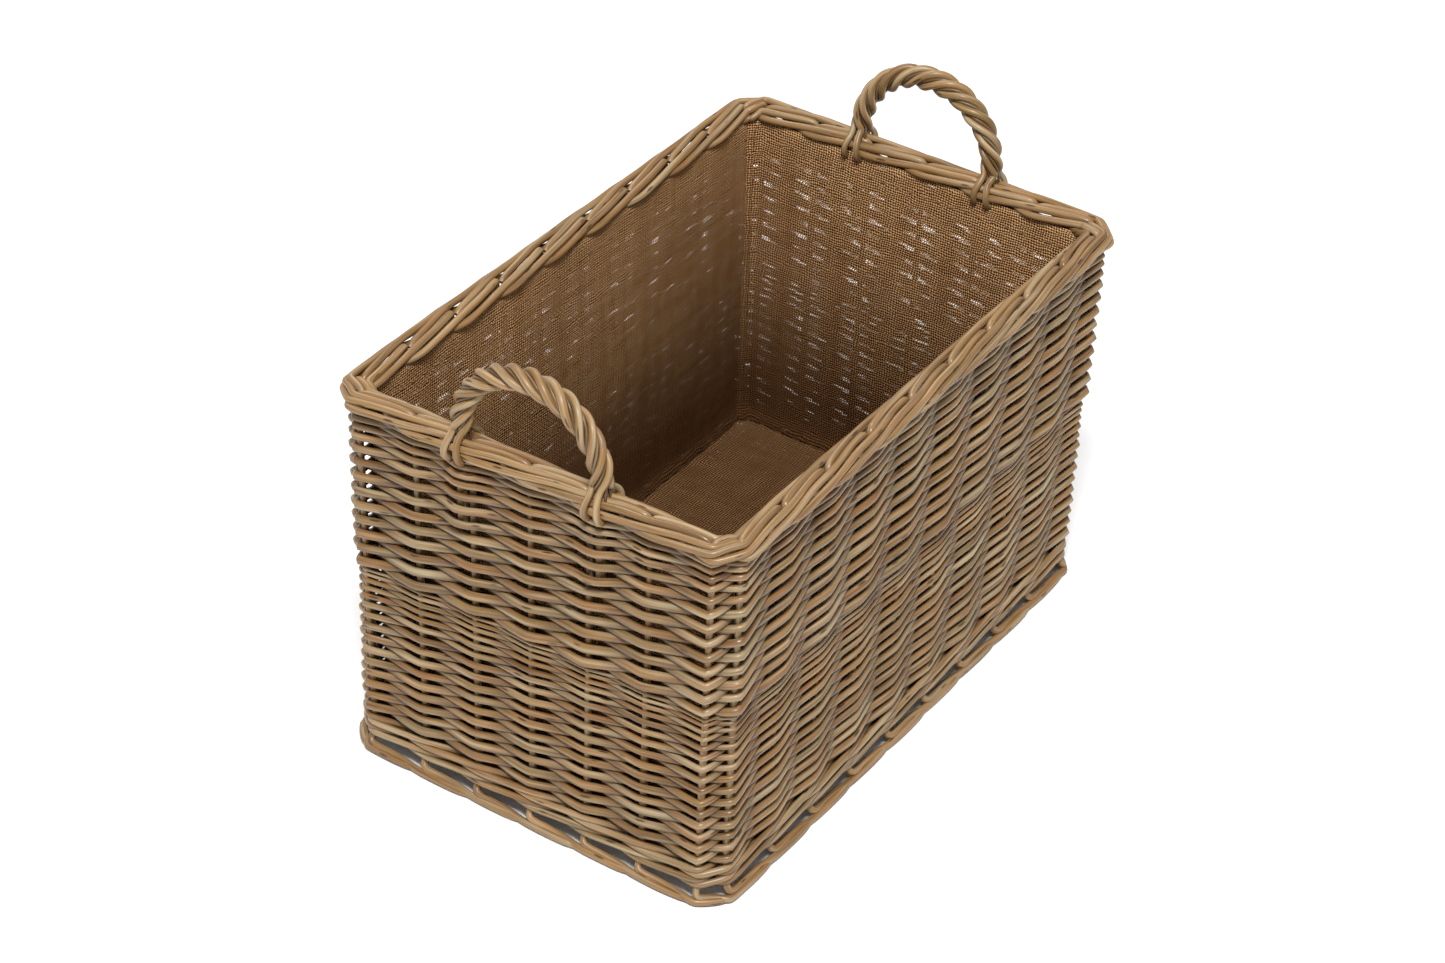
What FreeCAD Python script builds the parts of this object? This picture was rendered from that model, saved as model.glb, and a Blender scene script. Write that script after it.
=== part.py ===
import FreeCAD, Part
import math
import os

from FreeCAD import Vector

# Rectangular willow log basket with a sewn-in hessian liner.
# Millimetres. +Z is up, +X runs along the length, and the origin is the middle of the
# footprint on the floor. Thirty-four upright stakes carry everything: their lower ends are
# plaited into the foot border, their upper ends into the rim border, and the bands of
# weaving are locked between them.

# ---- driving dimensions: the whole basket ------------------------------------------------
rim_length = 620.0          # over the outside of the rim border, along X
rim_width = 400.0           # over the outside of the rim border, along Y
rim_top_z = 372.0           # top of the rim border
flare = 6.0                 # how far each wall leans out between the floor and the rim top
corner_leg = 16.0           # each corner is cut off by this much along both sides

# ---- driving dimensions: the rods ---------------------------------------------------------
long_side_gaps = 9          # spaces between stakes on a long side
short_side_gaps = 6         # spaces between stakes on a short side
stake_foot_d = 7.0          # stakes are thickest at the foot and taper upwards
stake_top_d = 5.5
stake_fit = 0.2             # radial room round a stake in the weaving
wale_rod_d = 7.5            # rods of the wale, at their butts
rand_butt_d = 7.6           # weaving rods at the bottom of a band, where their butts are
rand_tip_d = 3.6            # the same rods at the top of a band, where their tips end
border_rod_d = 8.0          # bent-over stake ends in the foot and rim borders

# ---- driving dimensions: the levels ---------------------------------------------------------
foot_border_height = 14.0   # floor to the underside of the wale
wale_top_z = 40.0           # top of the two rows of three-rod wale
band_join_z = 202.0         # where the second set of weaving rods starts
rim_border_height = 15.0    # thickness of the rim border, top to bottom
rim_outside = 11.0          # the rim border reaches this far outside the stake line
rim_inside = 17.0           # and this far inside it
rim_edge_round = 5.0        # how far the rim section is rounded off at its edges
rim_socket_depth = 8.0      # how far each stake runs up into the rim border

# ---- driving dimensions: the base -----------------------------------------------------------
base_stick_count = 7
base_stick_d = 8.0
base_weaver_d = 2.8         # fine weaving rods that pass over and under the base sticks
base_gap = 2.0              # the base sits this far above the underside of the wale

# ---- driving dimensions: the handles --------------------------------------------------------
handle_gaps_spanned = 2     # spaces between the two stakes that a handle's legs stand beside
handle_leg_room = 2.3       # weaving left between a handle leg and the stake beside it
handle_leg_above_rim = 10.0 # straight leg above the rim before the bow starts
handle_core_d = 9.0         # the stout rod inside each handle
handle_core_depth = 85.0    # how far its ends are pushed down beside the stakes
handle_rope_d = 20.0        # over the rods twisted round the core
handle_core_fit = 0.2       # radial room round the core
tail_width = 11.0           # the bundle of wrapping rods that hooks round the rim
tail_thickness = 4.0
tail_gap = 0.4              # room between a tail and the rim and weaving it passes
tail_drop = 6.0             # how far a tail reaches below the rim border

# ---- driving dimensions: the liner ----------------------------------------------------------
hessian_t = 2.0             # sewn hessian, taken as a plain sheet
liner_gap = 0.5             # between the liner and the thickest weaving, and under the tails
hem_height = 22.0           # the top edge of the liner is turned out and stitched down
hem_t = 2.0
long_side_stitches = 6
short_side_stitches = 4
stitch_d = 1.6
stitch_fit = 0.1
stitch_drop = 12.0          # below the top edge of the hem

# ---- worked-out sizes -----------------------------------------------------------------------
top_half_length = rim_length / 2.0 - rim_outside
top_half_width = rim_width / 2.0 - rim_outside
rim_bottom_z = rim_top_z - rim_border_height
wale_half_t = stake_foot_d / 2.0 + wale_rod_d
rand_butt_half_t = stake_foot_d / 2.0 + rand_butt_d
rand_tip_half_t = stake_foot_d / 2.0 + rand_tip_d
diagonal_inset = 2.0 - math.sqrt(2.0)

# A leg can only stand beside a stake, so one more space is spanned where the count needs it.
gaps_between_legs = handle_gaps_spanned + (short_side_gaps - handle_gaps_spanned) % 2
short_side_gap = 2.0 * (top_half_width - corner_leg) / short_side_gaps
leg_stake_y = gaps_between_legs * short_side_gap / 2.0
grip_r = leg_stake_y + stake_foot_d / 2.0 + handle_core_d / 2.0 + handle_leg_room


def lean(z):
    """How far the stake line stands inside its place at the rim top, at height z."""
    return flare * (1.0 - z / rim_top_z)


def octagon_corners(z, offset):
    """Corners of the wall outline at height z, moved out from the stake line by offset."""
    a = top_half_length - lean(z) + offset
    b = top_half_width - lean(z) + offset
    leg = corner_leg + offset * diagonal_inset
    return [
        (-a + leg, -b), (a - leg, -b),
        (a, -b + leg), (a, b - leg),
        (a - leg, b), (-a + leg, b),
        (-a, b - leg), (-a, -b + leg),
    ]


def outline(z, offset):
    """Corner points of the wall outline."""
    return [Vector(x, y, z) for x, y in octagon_corners(z, offset)]


def flat_face(points):
    """Flat face with straight edges through the points."""
    return Part.Face(Part.makePolygon(points + [points[0]]))


def stacked(loops):
    """Flat-sided solid through a stack of loops, each with the same number of points."""
    faces = [flat_face(loops[0]), flat_face(loops[-1])]
    for low, high in zip(loops, loops[1:]):
        for n in range(len(low)):
            m = (n + 1) % len(low)
            faces.append(flat_face([low[n], low[m], high[m], high[n]]))
    solid = Part.Solid(Part.Shell(faces))
    if solid.Volume < 0:
        solid.reverse()
    return solid


def tub(levels):
    """Solid whose outline follows (height, offset) pairs from the bottom to the top."""
    return stacked([outline(z, offset) for z, offset in levels])


def wall_ring(outer_levels, inner_levels):
    """Closed ring of wall between two such outlines."""
    return tub(outer_levels).cut(tub(inner_levels))


def stake_places(z):
    """Middles of the thirty-four stakes at height z, anticlockwise from the front left."""
    corners = octagon_corners(z, 0.0)
    places = []
    for side, gaps in enumerate((long_side_gaps, short_side_gaps) * 2):
        x0, y0 = corners[2 * side]
        x1, y1 = corners[2 * side + 1]
        for step in range(gaps + 1):
            share = step / gaps
            places.append((x0 + (x1 - x0) * share, y0 + (y1 - y0) * share))
    return places


def slab(bottom_z, top_z):
    """Everything between two heights."""
    return Part.makeBox(2.0 * rim_length, 2.0 * rim_width, top_z - bottom_z,
                        Vector(-rim_length, -rim_width, bottom_z))


def leaning_rod(start, end, start_r, end_r):
    """Tapered rod between two points, with its ends sawn level."""
    along = end - start
    overrun = along * (start_r / along.Length)
    taper = (end_r - start_r) * overrun.Length / along.Length
    whole = along + overrun * 2.0
    cone = Part.makeCone(start_r - taper, end_r + taper, whole.Length, start - overrun, along)
    return cone.common(slab(start.z, end.z))


def export(name, shape):
    """Write one piece, or one group of identical pieces, to its own file."""
    shape.exportStep(os.path.join("parts", name + ".step"))


os.makedirs("parts", exist_ok=True)

# ---- stakes: straight tapered rods that lean out with the wall --------------------------------
stake_bottom_z = foot_border_height
stake_top_z = rim_bottom_z + rim_socket_depth
stakes = []
stake_holes = []
for (x0, y0), (x1, y1) in zip(stake_places(stake_bottom_z), stake_places(stake_top_z)):
    bottom = Vector(x0, y0, stake_bottom_z)
    top = Vector(x1, y1, stake_top_z)
    stakes.append(leaning_rod(bottom, top, stake_foot_d / 2.0, stake_top_d / 2.0))
    stake_holes.append(leaning_rod(bottom, top, stake_foot_d / 2.0 + stake_fit,
                                   stake_top_d / 2.0 + stake_fit))
stake_hole_group = Part.makeCompound(stake_holes)

# ---- handles: a stout bowed core, a rope of rods twisted round it, and hooked tails ------------
rope_r = handle_rope_d / 2.0
core_r = handle_core_d / 2.0
slope = math.hypot(flare / rim_top_z, 1.0)


def handle_path(end, leg_bottom_z):
    """Bow in the plane of the end wall: two straight legs joined by a half circle."""
    up = Vector(end * flare / rim_top_z, 0.0, 1.0) / slope
    out = Vector(0.0, 1.0, 0.0)
    base = Vector(end * (top_half_length - lean(leg_bottom_z)), 0.0, leg_bottom_z)
    leg = (rim_top_z + handle_leg_above_rim - leg_bottom_z) * slope
    centre = base + up * leg
    leg_a = Part.LineSegment(base - out * grip_r, centre - out * grip_r)
    bow = Part.Arc(centre - out * grip_r, centre + up * grip_r, centre + out * grip_r)
    leg_b = Part.LineSegment(centre + out * grip_r, base + out * grip_r)
    return Part.Wire([leg_a.toShape(), bow.toShape(), leg_b.toShape()]), up


def swept_rod(path, radius, direction):
    """Round rod along a path that starts in the given direction."""
    start = path.Vertexes[0].Point
    circle = Part.makeCircle(radius, start, direction)
    return path.makePipeShell([Part.Wire(circle)], True, False)


def handle_tail(end, side, foot_y):
    """Bundle of wrapping rods from the rope, over one edge of the rim and in under it."""
    near = tail_gap + (rim_outside if side > 0 else rim_inside)
    far = near + tail_thickness
    y0 = foot_y - tail_width / 2.0
    low_z = rim_bottom_z - tail_drop
    hook = near - (rand_tip_half_t + lean(low_z) + tail_gap)
    over = Part.makeBox(far, tail_width, tail_thickness,
                        Vector(0.0, y0, rim_top_z + tail_gap))
    down = Part.makeBox(tail_thickness, tail_width, rim_top_z + tail_gap - low_z,
                        Vector(near, y0, low_z))
    tuck = Part.makeBox(hook + tail_thickness, tail_width, tail_thickness,
                        Vector(near - hook, y0, low_z))
    tail = over.fuse([down, tuck])
    if end * side < 0:
        tail = tail.mirror(Vector(0.0, 0.0, 0.0), Vector(1.0, 0.0, 0.0))
    tail.translate(Vector(end * top_half_length, 0.0, 0.0))
    return tail.removeSplitter()


handle_cores = {}
handle_holes = []
handle_wraps = {}
for end, name in ((-1, "left"), (1, "right")):
    core_path, up = handle_path(end, rim_top_z - handle_core_depth)
    handle_cores[name] = swept_rod(core_path, core_r, up)
    hole = swept_rod(core_path, core_r + handle_core_fit, up)
    handle_holes.append(hole)
    rope_path, up = handle_path(end, rim_top_z + tail_gap)
    rope = swept_rod(rope_path, rope_r, up)
    floor_cut = Part.makeBox(handle_rope_d * 2, rim_width, handle_rope_d,
                             Vector(end * top_half_length - handle_rope_d, -rim_width / 2.0,
                                    rim_top_z + tail_gap - handle_rope_d))
    rope = rope.cut(floor_cut)
    tails = [handle_tail(end, side, foot * grip_r) for side in (-1, 1) for foot in (-1, 1)]
    handle_wraps[name] = rope.fuse(tails).cut(hole)
handle_hole_group = Part.makeCompound(handle_holes)

# ---- foot border: the plaited lower ends of the stakes, flat where they bear on the floor ------
foot_ring_half = border_rod_d
foot_ring = wall_ring([(0.0, foot_ring_half), (border_rod_d, foot_ring_half)],
                      [(0.0, -foot_ring_half), (border_rod_d, -foot_ring_half)])
foot_places = stake_places(foot_border_height)
sloping_ends = []
for index, (x0, y0) in enumerate(foot_places):
    x1, y1 = foot_places[(index + 1) % len(foot_places)]
    high = Vector(x0, y0, foot_border_height)
    low = Vector(x1, y1, border_rod_d / 2.0)
    sloping_ends.append(Part.makeCylinder(stake_foot_d / 2.0, (low - high).Length, high,
                                          low - high))
foot_border = foot_ring.fuse(sloping_ends).common(slab(0.0, foot_border_height))

# ---- upsett wale: two rows of three stout rods that fix the stakes where they leave the base ----
upsett_wale = wall_ring([(foot_border_height, wale_half_t), (wale_top_z, wale_half_t)],
                        [(foot_border_height, -wale_half_t), (wale_top_z, -wale_half_t)])
upsett_wale = upsett_wale.cut(stake_hole_group)

# ---- the two bands of weaving: thick butts at the bottom of each, thin tips at the top ---------
lower_rand = wall_ring([(wale_top_z, rand_butt_half_t), (band_join_z, rand_tip_half_t)],
                       [(wale_top_z, -rand_butt_half_t), (band_join_z, -rand_tip_half_t)])
lower_rand = lower_rand.cut(stake_hole_group)
upper_rand = wall_ring([(band_join_z, rand_butt_half_t), (rim_bottom_z, rand_tip_half_t)],
                       [(band_join_z, -rand_butt_half_t), (rim_bottom_z, -rand_tip_half_t)])
upper_rand = upper_rand.cut(stake_hole_group).cut(handle_hole_group)

# ---- rim border: the plaited upper ends of the stakes, rounded along both edges ----------------
# Its section stands upright over the top of the stake line, so the lean is taken back out.
rim_rounding = [
    (rim_bottom_z, rim_edge_round),
    (rim_bottom_z + rim_edge_round, 0.0),
    (rim_top_z - rim_edge_round, 0.0),
    (rim_top_z, rim_edge_round),
]
rim_border = wall_ring([(z, lean(z) + rim_outside - cut) for z, cut in rim_rounding],
                       [(z, lean(z) - rim_inside + cut) for z, cut in rim_rounding])
rim_border = rim_border.cut(stake_hole_group).cut(handle_hole_group)

# ---- base: sticks along the length, closely woven across ----------------------------------------
base_bottom_z = foot_border_height + base_gap
base_t = base_stick_d + 2.0 * base_weaver_d
base_top_z = base_bottom_z + base_t
base_corners = outline(base_bottom_z, -wale_half_t)
base_weave = flat_face(base_corners).extrude(Vector(0.0, 0.0, base_t))
stick_z = base_bottom_z + base_t / 2.0
stick_half_length = max(v.x for v in base_corners)
stick_half_spread = max(v.y for v in base_corners) - base_stick_d - corner_leg
base_sticks = []
for index in range(base_stick_count):
    y = stick_half_spread * (2.0 * index / (base_stick_count - 1) - 1.0)
    start = Vector(-stick_half_length, y, stick_z)
    base_sticks.append(Part.makeCylinder(base_stick_d / 2.0, 2.0 * stick_half_length, start,
                                         Vector(1.0, 0.0, 0.0)))
base_weave = base_weave.cut(Part.makeCompound(base_sticks))

# ---- liner: four hessian wall panels seamed at the corners, a floor panel and a turned hem ------
liner_out = -(max(wale_half_t, rand_butt_half_t) + liner_gap)
liner_in = liner_out - hessian_t
liner_bottom_z = base_top_z
liner_top_z = rim_bottom_z - tail_drop - liner_gap
liner_floor = flat_face(outline(liner_bottom_z, liner_in)).extrude(Vector(0.0, 0.0, hessian_t))
hem = wall_ring([(liner_top_z - hem_height, liner_out + hem_t), (liner_top_z, liner_out + hem_t)],
                [(liner_top_z - hem_height, liner_out), (liner_top_z, liner_out)])

stitch_z = liner_top_z - stitch_drop
stitch_length = hessian_t + hem_t
stitches = []
stitch_holes = []
stitch_a = top_half_length - lean(stitch_z) + liner_in
stitch_b = top_half_width - lean(stitch_z) + liner_in
rows = [(long_side_stitches, Vector(1, 0, 0), Vector(0, 1, 0), stitch_a, stitch_b),
        (short_side_stitches, Vector(0, 1, 0), Vector(1, 0, 0), stitch_b, stitch_a)]
for count, along, outward, half_run, distance in rows:
    for index in range(count):
        step = half_run * ((2.0 * index + 1.0) / count - 1.0)
        for side in (-1.0, 1.0):
            start = along * step + outward * side * distance + Vector(0.0, 0.0, stitch_z)
            stitches.append(Part.makeCylinder(stitch_d / 2.0, stitch_length, start,
                                              outward * side))
            stitch_holes.append(Part.makeCylinder(stitch_d / 2.0 + stitch_fit,
                                                  stitch_length + hem_t, start - outward * side,
                                                  outward * side))
stitch_hole_group = Part.makeCompound(stitch_holes)
hem = hem.cut(stitch_hole_group)


def panel_outline(z, side):
    """Plan of one wall panel at height z: it runs from corner seam to corner seam."""
    inner = octagon_corners(z, liner_in)
    outer = octagon_corners(z, liner_out)
    plan = []
    for corners in (inner, outer):
        before, start, stop, after = [Vector(*corners[(2 * side + n) % 8], z)
                                      for n in (-1, 0, 1, 2)]
        plan.append([(before + start) / 2.0, start, stop, (stop + after) / 2.0])
    return plan[0] + plan[1][::-1]


liner_panels = {}
for side, name in enumerate(("liner_front", "liner_right", "liner_back", "liner_left")):
    levels = [panel_outline(z, side) for z in (liner_bottom_z, liner_top_z)]
    liner_panels[name] = stacked(levels).cut(stitch_hole_group)

# ---- write every piece ---------------------------------------------------------------------------
for index, stake in enumerate(stakes):
    export("stake_%02d" % (index + 1), stake)
for index, stick in enumerate(base_sticks):
    export("base_stick_%d" % (index + 1), stick)
for name in handle_cores:
    export("handle_core_" + name, handle_cores[name])
    export("handle_wrap_" + name, handle_wraps[name])
for name, panel in liner_panels.items():
    export(name, panel)
export("foot_border", foot_border)
export("upsett_wale", upsett_wale)
export("lower_rand_weave", lower_rand)
export("upper_rand_weave", upper_rand)
export("rim_border", rim_border)
export("base_weave", base_weave)
export("liner_floor", liner_floor)
export("liner_hem", hem)
export("hem_stitches", Part.makeCompound(stitches))
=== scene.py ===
import math
import random

import bpy
from mathutils import Matrix, Vector, noise


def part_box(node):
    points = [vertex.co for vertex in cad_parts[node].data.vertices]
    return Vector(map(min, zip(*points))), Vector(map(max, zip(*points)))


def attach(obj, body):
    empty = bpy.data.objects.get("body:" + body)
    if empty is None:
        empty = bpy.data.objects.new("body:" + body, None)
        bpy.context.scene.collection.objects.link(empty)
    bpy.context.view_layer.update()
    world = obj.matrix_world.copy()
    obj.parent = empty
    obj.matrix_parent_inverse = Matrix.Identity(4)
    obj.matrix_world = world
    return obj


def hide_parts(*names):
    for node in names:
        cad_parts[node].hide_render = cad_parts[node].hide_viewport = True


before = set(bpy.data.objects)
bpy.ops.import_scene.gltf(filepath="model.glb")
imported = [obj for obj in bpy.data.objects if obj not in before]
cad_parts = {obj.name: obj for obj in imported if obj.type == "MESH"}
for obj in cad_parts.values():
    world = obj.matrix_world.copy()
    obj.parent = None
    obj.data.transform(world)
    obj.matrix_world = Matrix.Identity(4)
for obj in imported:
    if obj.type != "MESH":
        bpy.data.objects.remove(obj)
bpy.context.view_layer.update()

# ---- Stakes ------------------------------------------------------------------------------------
# Thirty-four straight willow rods that stand all round the base and carry the weaving. They
# are buff willow, steamed and then washed with a grey-brown stain that settles in the grain.
# Their shape is the CAD's own, so only their finish is made here.
MM = 0.001
stake_names = sorted(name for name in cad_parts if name.startswith("stake_"))
stake_count = len(stake_names)


def paint(red, green, blue):
    """Linear colour of a paint-chart colour given from 0 to 255."""
    parts = []
    for value in (red, green, blue):
        share = value / 255.0
        parts.append(share / 12.92 if share < 0.04045 else ((share + 0.055) / 1.055) ** 2.4)
    return (*parts, 1.0)


def new_finish(name):
    """New material, with its node tree and the shader that the finish is set on."""
    material = bpy.data.materials.new(name)
    material.use_nodes = True
    tree = material.node_tree
    return material, tree, tree.nodes["Principled BSDF"]


def add(tree, kind, options, inputs):
    """New shader node: options are its own settings, inputs are values or other outputs."""
    new = tree.nodes.new(kind)
    for name, value in options.items():
        setattr(new, name, value)
    for name, value in inputs.items():
        if isinstance(value, bpy.types.NodeSocket):
            tree.links.new(value, new.inputs[name])
        else:
            new.inputs[name].default_value = value
    return new


def calc(tree, operation, first, second=0.0):
    """Output of one sum on two numbers."""
    return add(tree, "ShaderNodeMath", {"operation": operation}, {0: first, 1: second}).outputs[0]


def spread(tree, value, low, high, to_low, to_high):
    """Output of a value stretched from one range to another and held inside it."""
    inputs = {"Value": value, "From Min": low, "From Max": high,
              "To Min": to_low, "To Max": to_high}
    return add(tree, "ShaderNodeMapRange", {}, inputs).outputs[0]


def mixed(tree, factor, first, second, blend="MIX"):
    """Output of two colours mixed."""
    options = {"data_type": "RGBA", "blend_type": blend}
    return add(tree, "ShaderNodeMix", options, {0: factor, 6: first, 7: second}).outputs[2]


def tones(tree, factor, stops):
    """Output of a colour ramp through (place, colour) stops."""
    new = add(tree, "ShaderNodeValToRGB", {}, {"Fac": factor})
    while len(new.color_ramp.elements) < len(stops):
        new.color_ramp.elements.new(1.0)
    for element, (place, colour) in zip(new.color_ramp.elements, stops):
        element.position = place
        element.color = colour
    return new.outputs[0]


def noise_of(tree, place, size, detail=3.0, roughness=0.55):
    """Output of a cloud pattern in the units of place."""
    inputs = {"Vector": place, "Scale": size, "Detail": detail, "Roughness": roughness}
    return add(tree, "ShaderNodeTexNoise", {}, inputs).outputs[0]


def stretched(tree, place, scale):
    """Output of coordinates scaled by three numbers."""
    return add(tree, "ShaderNodeMapping", {"vector_type": "POINT"},
               {"Vector": place, "Scale": scale}).outputs[0]


def carried(tree, name, output="Fac"):
    """Output of what a mesh carries under a name at each of its points."""
    return add(tree, "ShaderNodeAttribute", {"attribute_name": name}, {}).outputs[output]


def raised(tree, shader, strength, distance, height):
    """Gives a finish its small relief."""
    inputs = {"Strength": strength, "Distance": distance, "Height": height}
    bump = add(tree, "ShaderNodeBump", {}, inputs)
    tree.links.new(bump.outputs[0], shader.inputs["Normal"])


def willow(name, skins, across=(1, 1, 0), along=(0, 0, 1), by_rod=True, wash=1.0, gloss=0.34,
           coat=0.14):
    """Stained willow: each rod has its own skin, with the grain along it.

    Rods of a woven piece carry their own place, chance and depth, and the depth sets their painted
    shade. A piece that shows as the CAD made it is one rod, so it takes its place from itself and
    stands wholly in front, unshaded.
    """
    material, tree, shader = new_finish(name)
    if by_rod:
        place = carried(tree, "rod_place", "Vector")
        chance = carried(tree, "rod_chance")
        front = spread(tree, carried(tree, "rod_front"), 0.05, 0.8, 0.0, 1.0)
    else:
        front = 1.0
        place = add(tree, "ShaderNodeTexCoord", {}, {}).outputs["Object"]
        chance = add(tree, "ShaderNodeObjectInfo", {}, {}).outputs["Random"]

    def grain(fine, long):
        """Cloud pattern drawn out along the rod: features this many per metre each way."""
        scale = [fine * a + long * b for a, b in zip(across, along)]
        return noise_of(tree, stretched(tree, place, scale), 1.0)

    skin = tones(tree, chance, [(n / (len(skins) - 1.0), c) for n, c in enumerate(skins)])
    streak = grain(760.0, 24.0)
    broad = grain(260.0, 9.0)
    patch = grain(70.0, 16.0)
    # Fine streaks, then warm patches, the grey wash, dark wear and the small knots.
    streaks = spread(tree, streak, 0.3, 0.7, 0.56, 1.24)
    streaks = tones(tree, streaks, [(0, (0, 0, 0, 1)), (1, (1, 1, 1, 1))])
    body = mixed(tree, 1.0, skin, streaks, "MULTIPLY")
    warm = spread(tree, patch, 0.45, 0.75, 0.0, 0.4)
    body = mixed(tree, warm, body, paint(156, 112, 70))
    grey = spread(tree, broad, 0.48, 0.72, 0.0, 0.62 * wash)
    body = mixed(tree, grey, body, paint(186, 171, 139))
    dark = spread(tree, broad, 0.40, 0.26, 0.0, 0.75)
    body = mixed(tree, dark, body, paint(74, 52, 32))
    knot_scale = [150.0 * a + 26.0 * b for a, b in zip(across, along)]
    knots = add(tree, "ShaderNodeTexVoronoi", {},
                {"Vector": stretched(tree, place, knot_scale), "Scale": 1.0})
    knot = spread(tree, knots.outputs["Distance"], 0.10, 0.16, 0.85, 0.0)
    body = mixed(tree, knot, body, paint(58, 38, 24))
    # Painted shade: a rod is darkened where it stands back, as where it passes behind a stake.
    painted_shade = mixed(tree, 1.0, body, paint(132, 114, 94), "MULTIPLY")
    body = mixed(tree, front, painted_shade, body)
    tree.links.new(body, shader.inputs["Base Color"])
    tree.links.new(spread(tree, broad, 0.3, 0.7, gloss - 0.04, gloss + 0.18),
                   shader.inputs["Roughness"])
    height = calc(tree, "SUBTRACT", calc(tree, "ADD", streak, calc(tree, "MULTIPLY", broad, 0.8)),
                  calc(tree, "MULTIPLY", knot, 0.6))
    raised(tree, shader, 0.35, 0.35 * MM, height)
    shader.inputs["Specular IOR Level"].default_value = 0.45
    shader.inputs["Coat Weight"].default_value = coat
    shader.inputs["Coat Roughness"].default_value = 0.2
    return material


WEAVE_SKINS = [paint(120, 94, 59), paint(141, 107, 65), paint(131, 94, 55), paint(128, 105, 69),
               paint(146, 112, 70), paint(111, 80, 47), paint(139, 111, 70)]
stake_finish = willow("willow_stakes", WEAVE_SKINS, by_rod=False)


def end_middle(name, upper):
    """Middle of a stake's level upper or lower end."""
    same_level = 0.01 * MM
    points = [v.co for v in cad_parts[name].data.vertices]
    level = max(p.z for p in points) if upper else min(p.z for p in points)
    ring = [p for p in points if abs(p.z - level) < same_level]
    x = (min(p.x for p in ring) + max(p.x for p in ring)) / 2.0
    y = (min(p.y for p in ring) + max(p.y for p in ring)) / 2.0
    return Vector((x, y, level))


def give_finish(name, finish):
    """Puts a finish on a piece that shows as the CAD made it."""
    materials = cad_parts[name].data.materials
    materials.clear()
    materials.append(finish)


stake_feet = [end_middle(name, False) for name in stake_names]
stake_heads = [end_middle(name, True) for name in stake_names]
for name in stake_names:
    give_finish(name, stake_finish)

# ---- Foot border -------------------------------------------------------------------------------
# The stakes' lower ends, bent sharply to the right under the wale. Each one slopes down past
# its neighbour, lies along the floor on the outside and tucks in behind the next one.


def stake_at(index, z):
    """Middle of a stake at height z, carried on in line past its ends."""
    foot = stake_feet[index % stake_count]
    head = stake_heads[index % stake_count]
    return foot.lerp(head, (z - foot.z) / (head.z - foot.z))


def wall_direction(index):
    """Outward direction at a stake: level, and halfway between the two walls at a corner."""
    before = stake_feet[index % stake_count] - stake_feet[(index - 1) % stake_count]
    after = stake_feet[(index + 1) % stake_count] - stake_feet[index % stake_count]
    tangent = before.normalized() + after.normalized()
    return Vector((tangent.y, -tangent.x, 0.0)).normalized()


outward = [wall_direction(index) for index in range(stake_count)]


def wall_point(s, z, out):
    """Point at stake number s (fractions lie between stakes), height z, out from the wall."""
    index = math.floor(s)
    share = s - index
    place = stake_at(index, z).lerp(stake_at(index + 1, z), share)
    way = outward[index % stake_count].lerp(outward[(index + 1) % stake_count], share)
    return place + way.normalized() * out


def between(a, b, c, d, t):
    """Value a share t of the way from b to c, on a smooth run through all four."""
    return 0.5 * (2 * b + (c - a) * t + (2 * a - 5 * b + 4 * c - d) * t * t
                  + (3 * b - a - 3 * c + d) * t ** 3)


def curve_through(stops, steps):
    """Smooth run of values through a list of stops, each a tuple of the same length."""
    run = []
    last = len(stops) - 1
    for n in range(last):
        p0, p1, p2, p3 = [stops[min(max(n + k, 0), last)] for k in (-1, 0, 1, 2)]
        for step in range(steps + (1 if n == last - 1 else 0)):
            t = step / steps
            run.append(tuple(between(*values, t) for values in zip(p0, p1, p2, p3)))
    return run


def eased(points, passes=2):
    """The same line with its sharp corners worn off."""
    for _ in range(passes):
        inner = [(a + b * 2.0 + c) / 4.0 for a, b, c in zip(points, points[1:], points[2:])]
        points = [points[0]] + inner + [points[-1]]
    return points


def new_bundle():
    """Empty store for the rods of one piece."""
    return {"points": [], "faces": [], "ends": [], "places": [], "chances": [], "fronts": []}


# Rods are never quite even: how much they swell, and how often in a metre. Each rod's finish
# starts at its own place, so that no two are alike. Where a rod points straight up, the last
# value says when it needs a new side to be drawn from.
rod_lump = 0.07
rod_lumps_per_metre = 45.0
finish_shift = 40.0
side_too_short = 0.2


def lay_rod(bundle, points, radii, chance, sides=8, fronts=None):
    """Adds a round rod along the points; fronts says how far it stands out, from 0 to 1, which
    sets its painted shade.
    """
    side = Vector((0.0, 0.0, 1.0))
    along = 0.0
    first = len(bundle["points"])
    wander = chance * finish_shift
    last = len(points) - 1
    for n, point in enumerate(points):
        tangent = (points[min(n + 1, last)] - points[max(n - 1, 0)]).normalized()
        side = side - tangent * side.dot(tangent)
        if side.length < side_too_short:
            side = tangent.orthogonal()
        side.normalize()
        other = tangent.cross(side)
        if n:
            along += (point - points[n - 1]).length
        swell = noise.noise(Vector((along * rod_lumps_per_metre, wander, 0.0)))
        radius = radii[n] * (1.0 + rod_lump * swell)
        for corner in range(sides):
            angle = 2.0 * math.pi * corner / sides
            x = math.cos(angle) * radius
            y = math.sin(angle) * radius
            bundle["points"].append(point + side * x + other * y)
            bundle["places"].append((x, y, along + wander))
            bundle["chances"].append(chance)
            bundle["fronts"].append(fronts[n] if fronts else 1.0)
        if n:
            ring = first + n * sides
            for corner in range(sides):
                after = (corner + 1) % sides
                bundle["faces"].append((ring - sides + corner, ring - sides + after,
                                        ring + after, ring + corner))
    for start, turn in ((first, -1), (first + last * sides, 1)):
        bundle["ends"].append(len(bundle["faces"]))
        bundle["faces"].append(tuple(range(start, start + sides))[::turn])


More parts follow.
